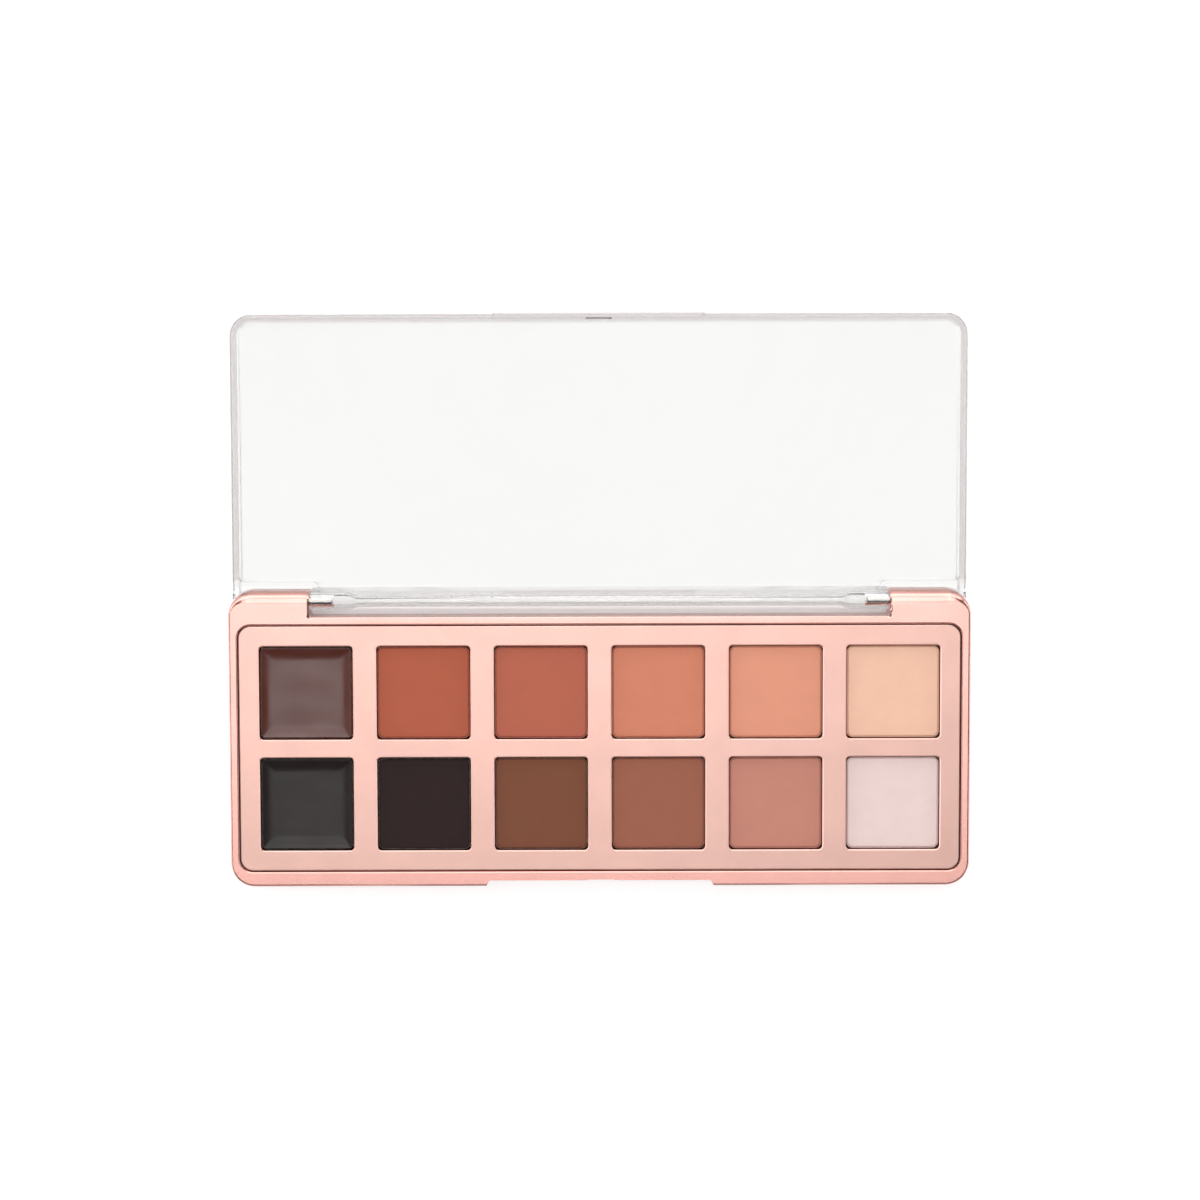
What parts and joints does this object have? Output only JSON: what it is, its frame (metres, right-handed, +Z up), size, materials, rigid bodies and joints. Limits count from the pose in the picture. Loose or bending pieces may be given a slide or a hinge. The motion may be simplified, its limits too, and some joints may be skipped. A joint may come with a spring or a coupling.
{
  "type": "eyeshadow palette",
  "caption": "Slim rose-gold makeup palette with rows of square powder and cream pans in an inset tray, and a clear lid hinged on pins that opens flat.",
  "frame": {"origin": "middle of the case's flat underside", "axes": "+X along the rows of pans, +Y from the front edge to the hinge, +Z up out of the pans; the lid lies open behind the case"},
  "size_m": [0.142, 0.11, 0.008],
  "materials": {
    "rose_gold": "satin metallised rose gold on moulded plastic",
    "clear_plastic": "clear polished moulded plastic",
    "pin_steel": "drawn steel wire",
    "pan_metal": "pressed tin-coloured metal",
    "adhesive": "double-sided adhesive pad",
    "cocoa_cream": "glossy poured cream, cocoa brown",
    "brick_powder": "matte pressed powder, brick red",
    "rust_powder": "matte pressed powder, rust",
    "apricot_powder": "matte pressed powder, apricot",
    "peach_powder": "matte pressed powder, peach",
    "vanilla_powder": "matte pressed powder, pale peach",
    "charcoal_cream": "glossy poured cream, charcoal",
    "espresso_powder": "matte pressed powder, black brown",
    "chestnut_powder": "matte pressed powder, chestnut",
    "mocha_powder": "matte pressed powder, mocha",
    "rosewood_powder": "matte pressed powder, dusty rose",
    "shell_powder": "matte pressed powder, pale pink"
  },
  "bodies": {
    "case": {"base_shell": "rose_gold", "pan_tray": "rose_gold", "hinge_pin_left": "pin_steel", "hinge_pin_right": "pin_steel", "glue_pads": "adhesive", "pan_front_1": "pan_metal", "pan_front_2": "pan_metal", "pan_front_3": "pan_metal", "pan_front_4": "pan_metal", "pan_front_5": "pan_metal", "pan_front_6": "pan_metal", "pan_back_1": "pan_metal", "pan_back_2": "pan_metal", "pan_back_3": "pan_metal", "pan_back_4": "pan_metal", "pan_back_5": "pan_metal", "pan_back_6": "pan_metal", "cream_back_1": "cocoa_cream", "powder_back_2": "brick_powder", "powder_back_3": "rust_powder", "powder_back_4": "apricot_powder", "powder_back_5": "peach_powder", "powder_back_6": "vanilla_powder", "cream_front_1": "charcoal_cream", "powder_front_2": "espresso_powder", "powder_front_3": "chestnut_powder", "powder_front_4": "mocha_powder", "powder_front_5": "rosewood_powder", "powder_front_6": "shell_powder"},
    "lid": {"clear_lid": "clear_plastic"}
  },
  "joints": [
    {"name": "lid_hinge", "type": "hinge", "parent": "case", "child": "lid", "pos_m": [0, 0.02652, 0.00605], "axis": [1, 0, 0], "range_deg": [0, 180]}
  ]
}
